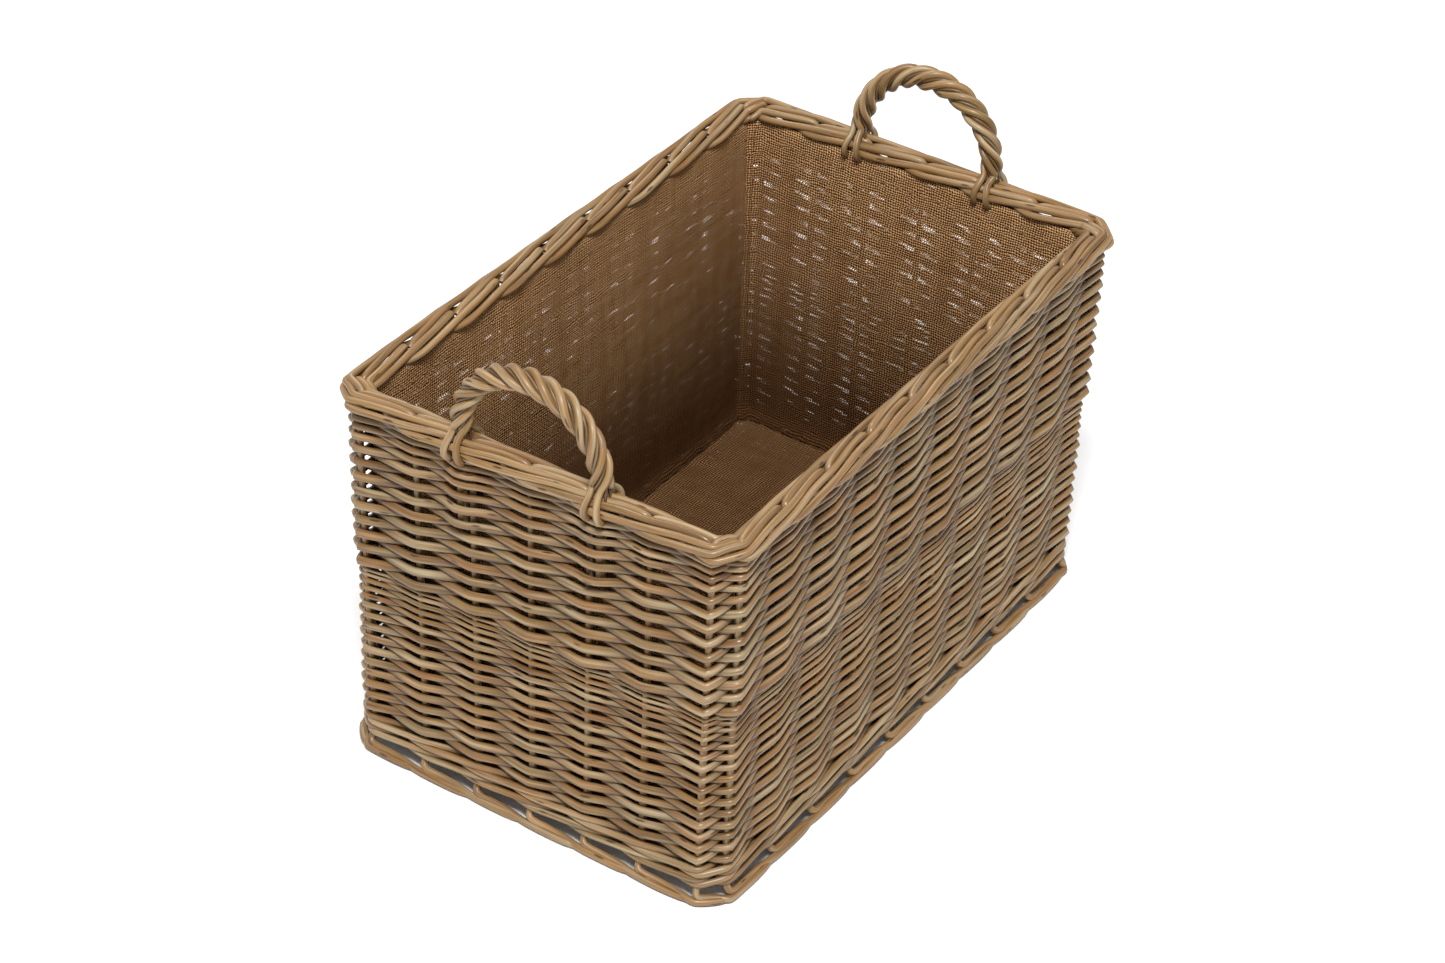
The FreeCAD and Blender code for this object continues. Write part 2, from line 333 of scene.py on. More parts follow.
def make_piece(name, bundle, finish, end_finish):
    """Mesh object from the rods in a bundle; the sawn ends take their own finish."""
    mesh = bpy.data.meshes.new(name)
    mesh.from_pydata(bundle["points"], [], bundle["faces"])
    mesh.materials.append(finish)
    mesh.materials.append(end_finish)
    mesh.polygons.foreach_set("use_smooth", [True] * len(mesh.polygons))
    for index in bundle["ends"]:
        mesh.polygons[index].material_index = 1
        mesh.polygons[index].use_smooth = False
    places = mesh.attributes.new("rod_place", "FLOAT_VECTOR", "POINT")
    places.data.foreach_set("vector", [value for place in bundle["places"] for value in place])
    chances = mesh.attributes.new("rod_chance", "FLOAT", "POINT")
    chances.data.foreach_set("value", bundle["chances"])
    fronts = mesh.attributes.new("rod_front", "FLOAT", "POINT")
    fronts.data.foreach_set("value", bundle["fronts"])
    piece = bpy.data.objects.new(name, mesh)
    bpy.context.scene.collection.objects.link(piece)
    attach(piece, "root")
    return piece


def sawn_end():
    """Cut end of a rod: pale wood with darker specks, weathered to grey."""
    material, tree, shader = new_finish("willow_cut_ends")
    place = carried(tree, "rod_place", "Vector")
    speck = noise_of(tree, stretched(tree, place, (900.0, 900.0, 5.0)), 1.0)
    colour = tones(tree, speck, [(0.3, paint(104, 92, 76)), (0.6, paint(176, 158, 126))])
    tree.links.new(colour, shader.inputs["Base Color"])
    tree.links.new(spread(tree, speck, 0.3, 0.7, 0.6, 0.85), shader.inputs["Roughness"])
    raised(tree, shader, 0.3, 0.2 * MM, speck)
    return material


cut_ends = sawn_end()
BORDER_SKINS = [paint(136, 101, 60), paint(146, 112, 70), paint(130, 96, 57), paint(152, 118, 74),
                paint(124, 93, 55)]
border_finish = willow("willow_borders", BORDER_SKINS, wash=0.8)
# Each stop: stakes passed, millimetres out from the stake line, millimetres above the floor.
FOOT_ROUTE = [
    (0.0, 0.0, 32.0), (0.0, 1.4, 19.0), (0.005, 5.0, 12.2), (0.05, 7.4, 9.4), (0.15, 7.6, 7.8),
    (0.35, 6.6, 6.2), (0.65, 7.0, 4.8), (1.0, 9.8, 4.2), (1.5, 10.6, 4.0), (1.9, 9.4, 3.8),
]
foot_rod_r = 3.4 * MM
foot_uneven = 0.5
foot_tip_share = 0.6
foot_taper_points = 12.0
random.seed(11)
foot = new_bundle()
for index in range(stake_count):
    wobble = random.uniform(-foot_uneven, foot_uneven)
    route = [wall_point(index + u, z * MM, (out + wobble * min(u, 1.0)) * MM)
             for u, out, z in curve_through(FOOT_ROUTE, 8)]
    thickness = foot_rod_r * random.uniform(0.93, 1.0)
    radii = [thickness * min(1.0, foot_tip_share + (len(route) - n) / foot_taper_points)
             for n in range(len(route))]
    lay_rod(foot, eased(route, 1), radii, random.random(), sides=10)
foot_piece = make_piece("foot_border_rods", foot, border_finish, cut_ends)
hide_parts("foot_border")

# ---- Upsett wale -------------------------------------------------------------------------------
# Two rows of three-rod wale: each rod passes in front of two stakes and behind one, and rises
# over the next as it goes, so four slanting strands show at every stake.
wale_low, wale_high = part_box("upsett_wale")
weave_finish = willow("willow_weaving", WEAVE_SKINS)
wale_rod_r = 2.9 * MM
wale_rows_z = (wale_low.z + 8.6 * MM, wale_low.z + 19.6 * MM)
stake_r = 3.3 * MM
wale_pull = 0.6 * MM
wale_reach = stake_r + wale_rod_r - wale_pull
# Each stop is half a stake space: out from the stake line as a share of the reach, and up or
# down as a share of the rod's radius. The pattern repeats every three stakes.
WALE_STROKE = [(1.0, -1.0), (1.08, 0.0), (1.0, 1.0), (0.0, 1.0), (-1.0, 0.0), (0.0, -1.0)]
# Each rod makes two strokes of three stakes, and the next is pieced in behind a stake. The two
# butts lap a little. Rods of a row lie closer than their thickness, since they press together.
stroke_stakes = 3
strokes_per_rod = 2
wale_first_butt = 1.05
wale_lap = 0.1
wale_press = 0.92
wale_uneven = 0.06
wale_steps_per_stake = 12
wale = new_bundle()
random.seed(23)


def repeated(stroke, u):
    """Smooth value of a repeating stroke at u, with one stop every half stake space."""
    step = math.floor(u * 2.0)
    stops = [stroke[(step + k) % len(stroke)] for k in (-1, 0, 1, 2)]
    return [between(*values, u * 2.0 - step) for values in zip(*stops)]


for row_z in wale_rows_z:
    for rod in range(stake_count // strokes_per_rod):
        start = rod * stroke_stakes * strokes_per_rod - wale_first_butt
        length = stroke_stakes * strokes_per_rod + wale_lap
        steps = int(length * wale_steps_per_stake)
        points = []
        radii = []
        fronts = []
        for n in range(steps + 1):
            u = start + length * n / steps
            out, up = repeated(WALE_STROKE, u)
            fronts.append(0.5 + 0.5 * out)
            z = row_z + up * wale_rod_r * wale_press
            points.append(wall_point(u, z, out * wale_reach))
            radii.append(wale_rod_r * (1.0 - wale_uneven * math.sin(u * 1.7 + rod)))
        lay_rod(wale, eased(points), radii, random.random(), sides=10, fronts=fronts)
wale_piece = make_piece("upsett_wale_rods", wale, weave_finish, cut_ends)
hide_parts("upsett_wale")

# ---- The two bands of weaving ------------------------------------------------------------------
# French randing: one rod starts at every stake, goes in front of one stake and behind the next,
# and climbs half a row at each. The butts are thick at the foot of a band and the tips thin at
# its head, so the rows close up towards the top.
join_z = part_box("upper_rand_weave")[0].z
rim_low, rim_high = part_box("rim_border")
row_drift = 2.4 * MM


def settle(s, z):
    """Small shared unevenness of the rows: neighbouring rods move together."""
    angle = 2.0 * math.pi * s / stake_count
    wave = noise.noise(Vector((math.cos(angle) * 2.6, math.sin(angle) * 2.6, z * 14.0)))
    return wave * row_drift


# A handle leg stands close beside one stake on its far side, and the weaving passes the two
# together: the share of the space the leg takes, by the number of the space.
middle_stakes = {"left": 30, "right": 13}
core_r = 4.5 * MM
leg_beside = 20.0 * MM
leg_from_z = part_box("handle_core_left")[0].z - 4.0 * MM
leg_swell_out = 2.8 * MM
leg_swell_spaces = 0.3
legs = {}
for core_name, middle in middle_stakes.items():
    leg_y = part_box("handle_core_" + core_name)[1].y - core_r
    for stake in range(middle - 3, middle + 4):
        apart = leg_y - abs(stake_heads[stake].y)
        if 0.0 < apart < leg_beside:
            gap = abs(stake_heads[stake + 1].y - stake_heads[stake].y)
            grows = abs(stake_heads[stake + 1].y) > abs(stake_heads[stake].y)
            legs[stake if grows else stake - 1] = apart / gap if grows else -apart / gap


def weave_phase(s, z):
    """Stake number seen by a weaver at s: it stands still while passing a handle leg."""
    index = math.floor(s)
    taken = legs.get(index % stake_count, 0.0)
    if not taken or z < leg_from_z:
        return s
    share = s - index
    if taken > 0.0:
        return index + max(0.0, share - taken) / (1.0 - taken)
    return index + min(1.0, share / (1.0 + taken))


def leg_swell(s, z):
    """How much further out a weaver passes a handle leg than it passes a stake."""
    swell = 0.0
    for space, taken in legs.items():
        place = space + (taken if taken > 0.0 else 1.0 + taken)
        apart = abs((s - place + stake_count / 2.0) % stake_count - stake_count / 2.0)
        if z > leg_from_z:
            near = max(0.0, 1.0 - (apart / leg_swell_spaces) ** 2)
            swell = max(swell, leg_swell_out * near)
    return swell


# A weaver goes from front to back a little more sharply than a plain wave, is pulled in against
# the stakes, more so towards the head of the band, and never runs quite true.
stroke_sharpness = 0.98
weave_pull = 1.2 * MM
head_pull = 0.6 * MM
weave_wobble = 0.3 * MM
weave_steps = 10
butt_steps = 11
butt_level = -0.4


def rod_radius(share, sizes):
    """Radius of a weaver a share of the way along, from its butt, middle and tip sizes."""
    butt_r, middle_r, tip_r = sizes
    radius = butt_r + (middle_r - butt_r) * min(share * 2.0, 1.0)
    return radius + (tip_r - middle_r) * max(share * 2.0 - 1.0, 0.0)


def rand_band(name, node, first_z, pitch, last_pitch, even_spaces, spaces, rod_sizes, seed):
    """One band of randing: even rows for so many stake spaces, then closing up to the top."""
    bundle = new_bundle()
    random.seed(seed)
    closing = (last_pitch - pitch) / (spaces - even_spaces)
    for rod in range(stake_count):
        chance = random.random()
        thickness = random.uniform(0.92, 1.05)
        phase = random.uniform(0.0, 6.0)
        points = []
        radii = []
        fronts = []
        for n in range(-butt_steps, spaces * weave_steps + 2):
            u = n / weave_steps
            late = max(u - even_spaces, 0.0)
            z = first_z + 0.5 * (pitch * max(u, butt_level) + closing * late * late / 2.0)
            share = min(max(u / spaces, 0.0), 1.0)
            r = rod_radius(share, rod_sizes) * thickness
            turned = math.pi * (weave_phase(rod + u, z) - rod)
            swing = math.asin(stroke_sharpness * math.cos(turned)) / math.asin(stroke_sharpness)
            reach = stake_r - weave_pull - head_pull * share + r + leg_swell(rod + u, z)
            reach = reach * swing + weave_wobble * math.sin(u * 2.3 + phase)
            z += settle(rod + u, z) + weave_wobble * math.sin(u * 1.3 + phase * 2.0)
            points.append(wall_point(rod + u, z, reach))
            radii.append(r)
            fronts.append(0.5 + 0.5 * swing)
        lay_rod(bundle, points, radii, chance, fronts=fronts)
    piece = make_piece(name, bundle, weave_finish, cut_ends)
    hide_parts(node)


rand_band("lower_band_rods", "lower_rand_weave", first_z=wale_high.z + 6.8 * MM,
          pitch=12.4 * MM, last_pitch=4.6 * MM, even_spaces=14, spaces=29,
          rod_sizes=(3.7 * MM, 3.0 * MM, 1.5 * MM), seed=31)
rand_band("upper_band_rods", "upper_rand_weave", first_z=join_z + 2.2 * MM,
          pitch=14.2 * MM, last_pitch=4.6 * MM, even_spaces=14, spaces=25,
          rod_sizes=(3.9 * MM, 3.6 * MM, 2.5 * MM), seed=47)

# ---- Rim border --------------------------------------------------------------------------------
# The stakes' upper ends, plaited down. Each one bends over to the right on the inside, drops
# behind the next two, comes out to the front under the others, climbs back over the outside
# and is cut off where it dives beside a bend.
# Each stop: stakes passed, millimetres out from the stake line, millimetres above the weaving.
RIM_ROUTE = [
    (0.0, 0.0, -10.0), (0.0, -0.6, 2.0), (0.015, -2.2, 9.2), (0.14, -4.4, 11.3), (0.5, -8.2, 11.0),
    (1.0, -11.2, 9.4), (1.5, -13.4, 6.2), (2.0, -13.6, 3.6), (2.5, -2.0, 3.0), (3.0, 9.4, 2.6),
    (3.5, 9.9, 5.2), (4.0, 8.6, 8.2), (4.5, 5.4, 10.9), (5.0, 3.8, 12.0), (5.5, -1.2, 11.8),
    (5.82, -3.6, 10.4), (5.93, -4.4, 7.0),
]
rim_butt_r = 3.4 * MM
rim_tip_r = 3.0 * MM
rim_uneven_up = 0.4
rim_uneven_out = 0.5
rim = new_bundle()
random.seed(5)
for index in range(stake_count):
    route = curve_through(RIM_ROUTE, 8)
    lift = random.uniform(-rim_uneven_up, rim_uneven_up)
    push = random.uniform(-rim_uneven_out, rim_uneven_out)
    points = []
    radii = []
    for n, (u, out, up) in enumerate(route):
        free = min(max(u, 0.0), 1.0)
        z = rim_low.z + (up + lift * free) * MM
        points.append(wall_point(index + u, z, (out + push * free) * MM))
        radii.append(rim_butt_r + (rim_tip_r - rim_butt_r) * n / len(route))
    lay_rod(rim, eased(points, 1), radii, random.random(), sides=10)
rim_piece = make_piece("rim_border_rods", rim, border_finish, cut_ends)
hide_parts("rim_border")

# ---- Handles -----------------------------------------------------------------------------------
# A stout bowed rod at each end, pushed down beside two stakes, with four stout rods and
# four thin ones twisted round it like rope. At each foot the rods part over the rim and tuck in.
HANDLE_SKINS = [paint(152, 119, 76), paint(137, 104, 62), paint(158, 129, 84), paint(128, 98, 59)]
handle_finish = willow("willow_handles", HANDLE_SKINS, wash=1.3, gloss=0.4, coat=0.12)
core_finish = willow("willow_handle_cores", HANDLE_SKINS, by_rod=False)
thick_r = 3.45 * MM
thin_r = 1.6 * MM
# How far round from its quarter each rod of a pair lies, as an angle.
strand_pair = ((-0.26, thick_r), (0.50, thin_r))
strand_count = 4
twist_length = 70.0 * MM
rope_start = 8.0 * MM
tail_splay = 6.5 * MM
tail_share = 0.86
# The rope is thinner at its feet than over the hand, and its rods ride in and out a little.
rope_foot_share = 0.84
rope_hand_more = 0.16
strand_ride = 0.08
rope_steps = 120
# Where a stout rod goes at a foot: out from the stake line, above the rim's top, spread sideways.
OUTER_TAIL = [(9.5, 3.2, 0.5), (14.8, -2.4, 0.8), (16.0, -9.0, 1.0), (14.4, -16.6, 1.0),
              (8.6, -20.4, 1.05)]
INNER_TAIL = [(-10.5, 3.0, 0.5), (-16.6, -1.0, 0.8), (-19.4, -8.6, 1.0), (-17.0, -16.4, 1.0),
              (-11.8, -19.6, 1.1)]
# A thin rod only turns down beside the rim: its last two stops, in or out from the stake line.
thin_tail_stops = ((5.0, 0.0), (2.0, -14.0))


def handle(name, side, middle):
    """The rope of one handle; middle is the number of the stake it stands over."""
    give_finish("handle_core_" + name, core_finish)
    core_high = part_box("handle_core_" + name)[1]
    radius = core_high.y - core_r
    low = wall_point(middle, rim_high.z, 0.0)
    up = (stake_heads[middle] - stake_feet[middle]).normalized()
    turn = (core_high.z - core_r - radius * up.z - low.z) / up.z
    across = Vector((0.0, 1.0, 0.0))
    out = Vector((side, 0.0, 0.0))
    leg = turn - rope_start
    total = 2.0 * leg + math.pi * radius

    def centre(t):
        """Point and inward direction of the bow, t metres from the start of its first leg."""
        if t < leg:
            return low + up * (rope_start + t) - across * radius, across
        if t > total - leg:
            return low + up * (rope_start + total - t) + across * radius, -across
        angle = (t - leg) / radius
        way = -across * math.cos(angle) + up * math.sin(angle)
        return low + up * turn + way * radius, -way

    bundle = new_bundle()
    turns = round(total / twist_length * 2.0) / 2.0
    for strand in range(strand_count):
        for turn_by, size in strand_pair:
            start = 2.0 * math.pi * (strand + 0.5) / strand_count + turn_by
            points = []
            radii = []
            for n in range(rope_steps + 1):
                point, inward = centre(total * n / rope_steps)
                angle = start + 2.0 * math.pi * turns * n / rope_steps
                full = rope_foot_share + rope_hand_more * math.sin(math.pi * n / rope_steps)
                ride = 0.96 + strand_ride * math.sin(angle * 1.5 + strand * 2.0)
                lift = core_r + size * full * ride
                points.append(point + (inward * math.cos(angle) + out * math.sin(angle)) * lift)
                radii.append(size * full)
            for foot_side in (-1.0, 1.0):
                near = points[0] if foot_side < 0 else points[-1]
                outer = (near - low).dot(out) > 0.0
                lean = 1.0 if near.y * foot_side > radius else -1.0
                tail = []
                stops = OUTER_TAIL if outer else INNER_TAIL
                if size < thick_r:
                    face = 1.0 if outer else -1.0
                    stops = [(face * out_by, over, 1.0) for out_by, over in thin_tail_stops]
                for out_by, over, share in stops:
                    y = foot_side * (radius + lean * tail_splay * share)
                    tail.append(Vector((low.x + side * out_by * MM, y, rim_high.z + over * MM)))
                tail_radii = [size * tail_share] * len(tail)
                if foot_side < 0:
                    points = tail[::-1] + points
                    radii = tail_radii + radii
                else:
                    points = points + tail
                    radii = radii + tail_radii
            run = curve_through([(*p, r) for p, r in zip(points, radii)], 2)
            line = eased([Vector(stop[:3]) for stop in run], 3)
            # Painted shade: the thin rods lie deep in the rope's grooves, so they are darkened as
            # if in shadow.
            fronts = [1.0 if size == thick_r else 0.3] * len(run)
            lay_rod(bundle, line, [stop[3] for stop in run], random.random(), sides=10,
                    fronts=fronts)
    piece = make_piece("handle_rope_" + name, bundle, handle_finish, cut_ends)
    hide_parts("handle_wrap_" + name)


random.seed(71)
handle("left", -1.0, middle_stakes["left"])
handle("right", 1.0, middle_stakes["right"])

# ---- Base --------------------------------------------------------------------------------------
# Seven stout sticks along the length with fine rods woven closely over and under them. It lies
# under the liner, so it shows only from below and through the gaps of the foot border.
base_finish = willow("willow_base_weaving", WEAVE_SKINS, wash=0.5)
stick_finish = willow("willow_base_sticks", BORDER_SKINS, across=(0, 1, 1), along=(1, 0, 0),
                      by_rod=False)
stick_names = sorted(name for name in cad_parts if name.startswith("base_stick_"))
stick_rows = []
for name in stick_names:
    give_finish(name, stick_finish)
    stick_low, stick_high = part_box(name)
    stick_rows.append((stick_low.y + stick_high.y) / 2.0)
stick_z = (stick_low.z + stick_high.z) / 2.0
base_low, base_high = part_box("base_weave")
weaver_r = 1.4 * MM
weaver_pitch = 3.05 * MM
base_reach = stick_high.z - stick_z + weaver_r
corner_cut = 9.0 * MM
weaver_steps = 44
base = new_bundle()
random.seed(3)
weaver_count = int((base_high.x - base_low.x - 2.0 * weaver_r) / weaver_pitch)
stick_gap = stick_rows[1] - stick_rows[0]
for weaver in range(weaver_count + 1):
    x = base_low.x + weaver_r + weaver * weaver_pitch
    clip = max(0.0, abs(x) - (base_high.x - corner_cut))
    half = base_high.y - clip - weaver_r
    points = []
    for n in range(weaver_steps + 1):
        y = half * (2.0 * n / weaver_steps - 1.0)
        swing = math.cos(math.pi * (y - stick_rows[0]) / stick_gap)
        swing = swing if weaver % 2 else -swing
        points.append(Vector((x, y, stick_z + base_reach * swing)))
    lay_rod(base, points, [weaver_r] * len(points), random.random(), sides=6)
base_piece = make_piece("base_weave_rods", base, base_finish, cut_ends)
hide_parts("base_weave")

# ---- Liner -------------------------------------------------------------------------------------
# Brown hessian, an open plain weave of jute, cut as four wall panels and a floor. The panels
# meet in seams down the middle of the corners, and hang a little slack between them.
THREAD_PITCH = 2.5 * MM


def hessian(name):
    """Open jute cloth: fat threads over and under, thick and thin places, pinholes of light."""
    material, tree, shader = new_finish(name)
    place = carried(tree, "cloth_place", "Vector")
    drift = noise_of(tree, place, 55.0, 2.0)
    split = add(tree, "ShaderNodeSeparateXYZ", {}, {"Vector": place})
    # Two sets of threads, each a row of round humps, rising over one another in turn.
    waves = []
    threads = []
    for axis in (0, 1):
        run = calc(tree, "DIVIDE", split.outputs[axis], THREAD_PITCH)
        run = calc(tree, "ADD", run, calc(tree, "MULTIPLY", drift, 2.2))
        waves.append(calc(tree, "SINE", calc(tree, "MULTIPLY", run, math.pi)))
        threads.append(calc(tree, "FLOOR", run))
    round_a = calc(tree, "ABSOLUTE", waves[0])
    round_b = calc(tree, "ABSOLUTE", waves[1])
    over = calc(tree, "MULTIPLY", calc(tree, "MULTIPLY", waves[0], waves[1]), 0.75)
    warp = calc(tree, "ADD", round_a, over)
    weft = calc(tree, "SUBTRACT", round_b, over)
    height = calc(tree, "MAXIMUM", warp, weft)
    # Every thread has its own tone, with thick and thin places along it, and painted shade in the
    # dark gaps beside it.
    shade = []
    for thread, scale in ((threads[0], (9.0, 90.0, 1.0)), (threads[1], (90.0, 9.0, 1.0))):
        odd = add(tree, "ShaderNodeTexWhiteNoise", {"noise_dimensions": "1D"}, {"W": thread})
        slub = noise_of(tree, stretched(tree, place, scale), 1.0)
        shade.append(calc(tree, "ADD", calc(tree, "MULTIPLY", odd.outputs[0], 0.16), slub))
    which = calc(tree, "GREATER_THAN", warp, weft)
    tint = calc(tree, "ADD", calc(tree, "MULTIPLY", which, shade[0]),
                calc(tree, "MULTIPLY", calc(tree, "SUBTRACT", 1.0, which), shade[1]))
    fibre = tones(tree, spread(tree, tint, 0.3, 0.9, 0.0, 1.0), [
        (0.0, paint(198, 146, 94)), (0.5, paint(230, 177, 122)), (1.0, paint(248, 205, 154))])
    # Painted shade: the low places between the threads are darkened as if in shadow.
    full = spread(tree, height, 0.55, 1.25, 0.0, 1.0)
    colour = mixed(tree, full, paint(44, 28, 14), fibre)
    # Painted shade: the cloth is darker low down, by the height that it carries, as if in the
    # basket's shadow; it is also worn in patches.
    unshaded_share = spread(tree, split.outputs[2], 0.08, 0.36, 0.0, 1.0)
    painted_low_shade = mixed(tree, 1.0, colour, paint(114, 99, 81), "MULTIPLY")
    colour = mixed(tree, unshaded_share, painted_low_shade, colour)
    worn = noise_of(tree, place, 7.0, 4.0)
    colour = mixed(tree, spread(tree, worn, 0.4, 0.7, 0.0, 0.3), colour, paint(110, 78, 46))
    tree.links.new(colour, shader.inputs["Base Color"])
    shader.inputs["Roughness"].default_value = 0.92
    shader.inputs["Specular IOR Level"].default_value = 0.12
    raised(tree, shader, 1.0, 1.0 * MM, height)
    # Between loose threads the light comes through.
    loose = noise_of(tree, place, 60.0, 3.0)
    hole_size = spread(tree, loose, 0.38, 0.60, 0.34, 0.80)
    solid = calc(tree, "GREATER_THAN", calc(tree, "MAXIMUM", round_a, round_b), hole_size)
    tree.links.new(solid, shader.inputs["Alpha"])
    return material


cloth_finish = hessian("hessian_cloth")
CLOTH_T = 0.5 * MM
floor_low, floor_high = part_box("liner_floor")


def cloth_piece(name, rows, places, node):
    """Sheet object from rows of points, given its thickness and carried on the basket."""
    wide = len(rows[0])
    faces = []
    for r in range(len(rows) - 1):
        for c in range(wide - 1):
            corner = r * wide + c
            faces.append((corner, corner + 1, corner + wide + 1, corner + wide))
    mesh = bpy.data.meshes.new(name)
    mesh.from_pydata([p for row in rows for p in row], [], faces)
    mesh.polygons.foreach_set("use_smooth", [True] * len(mesh.polygons))
    mesh.materials.append(cloth_finish)
    attribute = mesh.attributes.new("cloth_place", "FLOAT_VECTOR", "POINT")
    attribute.data.foreach_set("vector", [v for row in places for p in row for v in p])
    piece = bpy.data.objects.new(name, mesh)
    bpy.context.scene.collection.objects.link(piece)
    thick = piece.modifiers.new("cloth_thickness", "SOLIDIFY")
    thick.thickness = CLOTH_T
    thick.offset = 0.0
    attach(piece, "root")
    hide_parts(node)
    return piece


liner_top = rim_low.z + 1.5 * MM
liner_out = -12.6 * MM
# The lower edge of a wall turns in to meet the floor: how high up it starts, and how far it goes.
turn_in_height = 12.0 * MM
turn_in = turn_in_height * 0.55
# The first and last stake that each wall panel covers.
wall_stakes = {"front": (0, 9), "right": (10, 16), "back": (17, 26), "left": (27, 33)}


def wall_panel(side, first, last):
    """One wall panel, from seam to seam and from the rim to the floor."""
    columns = 96
    steps = 52
    rows = []
    places = []
    for r in range(steps + 1):
        z = floor_high.z + (liner_top - floor_high.z) * (1.0 - r / steps)
        row = []
        place = []
        for c in range(columns + 1):
            s = first - 0.5 + (last - first + 1.0) * c / columns
            share = c / columns
            # Slack in the middle, none at the seams and the rim, in broad waves and small folds.
            slack = math.sin(math.pi * share) ** 0.5
            slack *= math.sin(math.pi * min(1.0, r / steps * 1.04))
            wave = noise.noise(Vector((share * 3.1, z * 9.0, first * 1.7)))
            fold = noise.noise(Vector((share * 9.0, z * 16.0, first * 0.9 + 4.0)))
            give = slack * (3.6 + 4.4 * wave + 1.4 * fold) * MM
            turn = max(0.0, 1.0 - (z - floor_high.z) / turn_in_height)
            give += turn_in * turn * turn
            row.append(wall_point(s, z, liner_out - max(give, 0.0)))
            run = run + (row[c] - row[c - 1]).length if c else 0.0
            place.append((run, z, z))
        rows.append(row)
        places.append(place)
    piece = cloth_piece("liner_%s_cloth" % side, rows, places, "liner_" + side)


for side, (first, last) in wall_stakes.items():
    wall_panel(side, first, last)


# The floor is cut a little smaller than the base. Its edges ride up the walls, it lies in soft
# lumps on the weaving, and it takes the same painted shade as the walls do at this height.
floor_trim = 2.0 * MM
edge_width = 8.0 * MM
edge_rise = 2.5 * MM
lump_rise = 0.7 * MM
floor_shade_height = 0.13


def floor_panel():
    """The floor of the liner, cut off at its corners as the base is."""
    half_x = floor_high.x - floor_trim
    half_y = floor_high.y - floor_trim
    columns = 80
    steps = 50
    rows = []
    places = []
    for r in range(steps + 1):
        row = []
        place = []
        for c in range(columns + 1):
            x = half_x * (2.0 * c / columns - 1.0)
            y = half_y * (2.0 * r / steps - 1.0)
            clip = max(0.0, abs(x) + abs(y) - (half_x + half_y - corner_cut))
            x -= math.copysign(clip / 2.0, x)
            y -= math.copysign(clip / 2.0, y)
            edge = min(half_x - abs(x), half_y - abs(y))
            ride_up = max(0.0, 1.0 - edge / edge_width) ** 2 * edge_rise
            lump = (1.0 + noise.noise(Vector((x * 12.0, y * 12.0, 2.0)))) * lump_rise
            row.append(Vector((x, y, floor_low.z + CLOTH_T + ride_up + lump)))
            place.append((x, y, floor_shade_height))
        rows.append(row)
        places.append(place)
    piece = cloth_piece("liner_floor_cloth", rows, places, "liner_floor")


floor_panel()

# ---- Hem and stitches --------------------------------------------------------------------------
# The liner's top edge is turned outwards and run round with brown linen thread, in long
# stitches that show on the inside just under the rim.
hem_low, hem_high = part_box("liner_hem")
hem_out = -10.6 * MM


def hem_strip():
    """The turned edge, one strip all the way round between the liner and the weaving."""
    columns = stake_count * 6
    steps = 4
    rows = []
    places = []
    for r in range(steps + 1):
        z = hem_high.z + (hem_low.z - hem_high.z) * r / steps
        row = [wall_point(stake_count * c / columns, z, hem_out) for c in range(columns + 1)]
        runs = [0.0]
        for a, b in zip(row, row[1:]):
            runs.append(runs[-1] + (b - a).length)
        rows.append(row)
        # The hem carries no height, so it takes the cloth's full painted shade.
        places.append([(run, z, 0.0) for run in runs])
    piece = cloth_piece("liner_hem_cloth", rows, places, "liner_hem")


hem_strip()


def linen(name):
    """Waxed brown linen thread, twisted, so light and dark run across it."""
    material, tree, shader = new_finish(name)
    place = carried(tree, "rod_place", "Vector")
    ply = noise_of(tree, stretched(tree, place, (500.0, 500.0, 900.0)), 1.0)
    colour = tones(tree, ply, [(0.3, paint(110, 78, 48)), (0.7, paint(160, 124, 84))])
    tree.links.new(colour, shader.inputs["Base Color"])
    tree.links.new(spread(tree, ply, 0.3, 0.7, 0.5, 0.8), shader.inputs["Roughness"])
    raised(tree, shader, 0.5, 0.2 * MM, ply)
    return material


thread_finish = linen("linen_thread")
stitch_z = (hem_low.z + hem_high.z) / 2.0
stitch_out = -12.2 * MM
stitch_bow = 1.9 * MM
stitch_rise = 0.4 * MM
stitch_length = 0.15
stitches_per_stake = 4
stitch_steps = 8
thread_r = 0.4 * MM
stitches = new_bundle()
for number in range(stake_count * stitches_per_stake):
    s = number / stitches_per_stake
    points = []
    for n in range(stitch_steps + 1):
        share = n / stitch_steps
        bow = math.sin(math.pi * share)
        points.append(wall_point(s + stitch_length * share, stitch_z + stitch_rise * share,
                                 stitch_out - stitch_bow * bow))
    lay_rod(stitches, points, [thread_r] * len(points), (number % 7) / 7.0, sides=6)
stitch_piece = make_piece("hem_stitch_thread", stitches, thread_finish, thread_finish)
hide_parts("hem_stitches")

# ---- Floor, light and camera -------------------------------------------------------------------
# A plain pale studio floor, a soft light high up at the front left with a broad weaker one
# behind, even light from all round, and the view from above the front left corner.


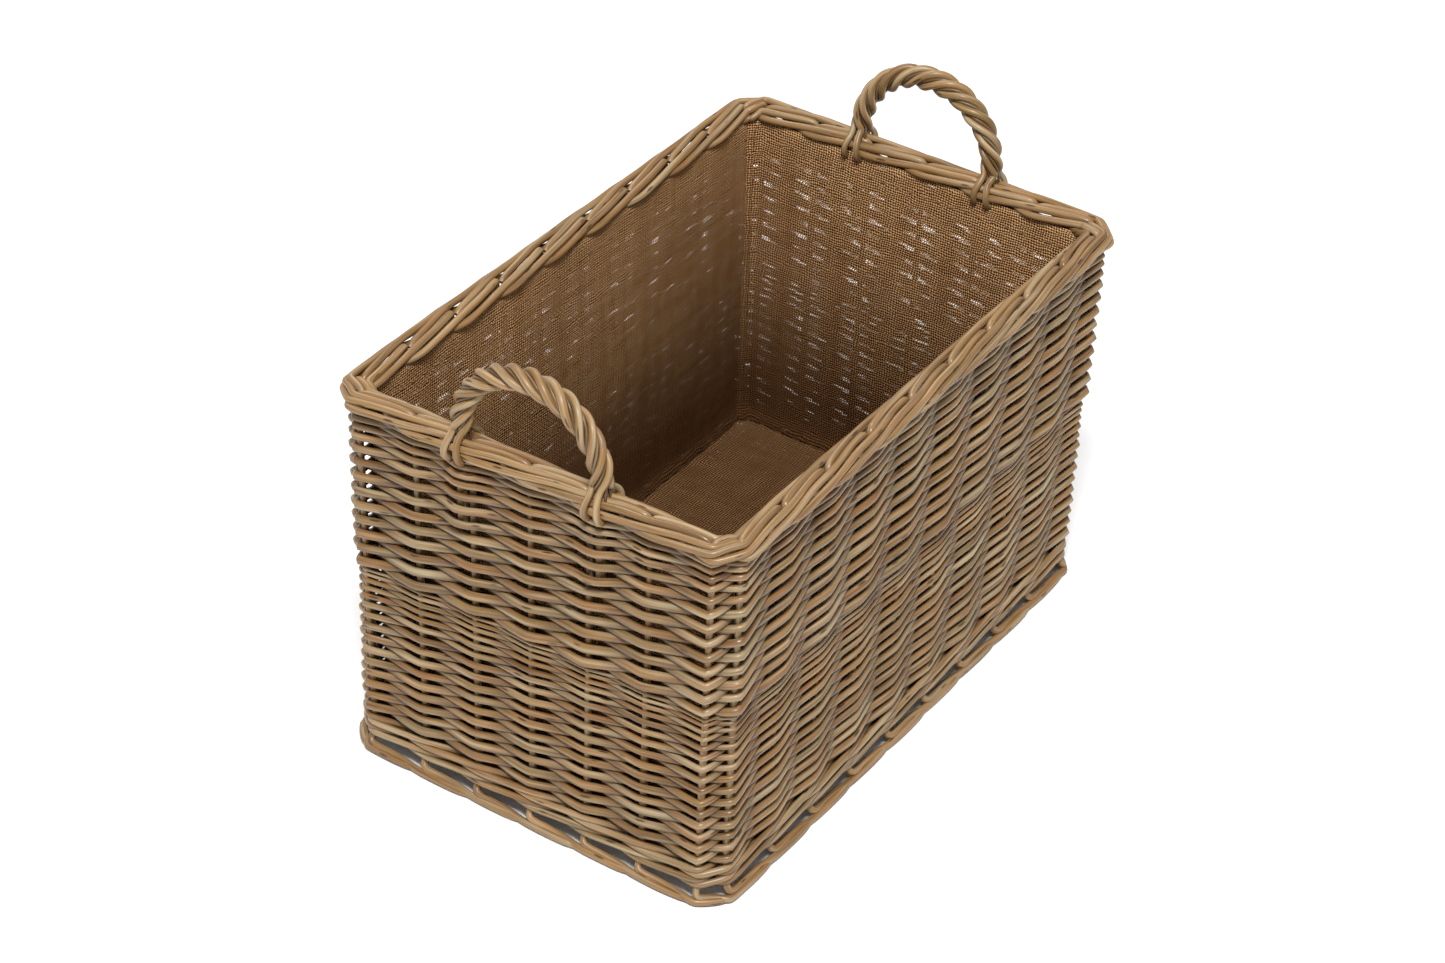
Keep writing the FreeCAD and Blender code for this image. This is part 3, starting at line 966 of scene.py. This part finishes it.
def studio_floor():
    """Large pale sheet under the basket."""
    mesh = bpy.data.meshes.new("studio_floor")
    half = 12.0
    corners = [(-half, -half, 0.0), (half, -half, 0.0), (half, half, 0.0), (-half, half, 0.0)]
    mesh.from_pydata(corners, [], [(0, 1, 2, 3)])
    material, _, shader = new_finish("studio_paper")
    shader.inputs["Base Color"].default_value = (0.93, 0.93, 0.93, 1.0)
    shader.inputs["Roughness"].default_value = 0.9
    mesh.materials.append(material)
    floor = bpy.data.objects.new("studio_floor", mesh)
    bpy.context.scene.collection.objects.link(floor)


studio_floor()


def soft_light(name, place, size, power):
    """Square area light at a place, turned to the middle of the basket."""
    lamp = bpy.data.lights.new(name, "AREA")
    lamp.size = size
    lamp.energy = power
    holder = bpy.data.objects.new(name, lamp)
    holder.location = place
    aim = Vector((0.0, 0.0, 0.2)) - Vector(place)
    holder.rotation_euler = aim.to_track_quat("-Z", "Y").to_euler()
    bpy.context.scene.collection.objects.link(holder)


soft_light("key_light", place=(-2.5, -1.5, 5.2), size=1.2, power=365.0)
soft_light("back_light", place=(2.6, 3.4, 5.0), size=2.5, power=110.0)
world = bpy.data.worlds.new("studio_air")
world.use_nodes = True
background = world.node_tree.nodes["Background"]
background.inputs["Color"].default_value = (1.0, 1.0, 1.0, 1.0)
background.inputs["Strength"].default_value = 0.45
bpy.context.scene.world = world
bpy.context.scene.view_settings.view_transform = "Standard"

# The camera leans down, looks along the basket from its front left corner and is a little askew.
camera_place = Vector((-2.1442, -1.3493, 1.9837))
camera_pitch = math.radians(35.397)
camera_yaw = math.radians(32.396)
camera_roll = math.radians(2.482)
forward = Vector((math.cos(camera_pitch) * math.cos(camera_yaw),
                  math.cos(camera_pitch) * math.sin(camera_yaw), -math.sin(camera_pitch)))
level_right = Vector((math.sin(camera_yaw), -math.cos(camera_yaw), 0.0))
level_up = level_right.cross(forward)
right = level_right * math.cos(camera_roll) + level_up * math.sin(camera_roll)
above = level_up * math.cos(camera_roll) - level_right * math.sin(camera_roll)
lens = bpy.data.cameras.new("camera")
lens.sensor_width = 36.0
lens.lens = 88.76
camera = bpy.data.objects.new("camera", lens)
turn = Matrix((right, above, -forward)).transposed().to_4x4()
camera.matrix_world = Matrix.Translation(camera_place) @ turn
bpy.context.scene.collection.objects.link(camera)
bpy.context.scene.camera = camera
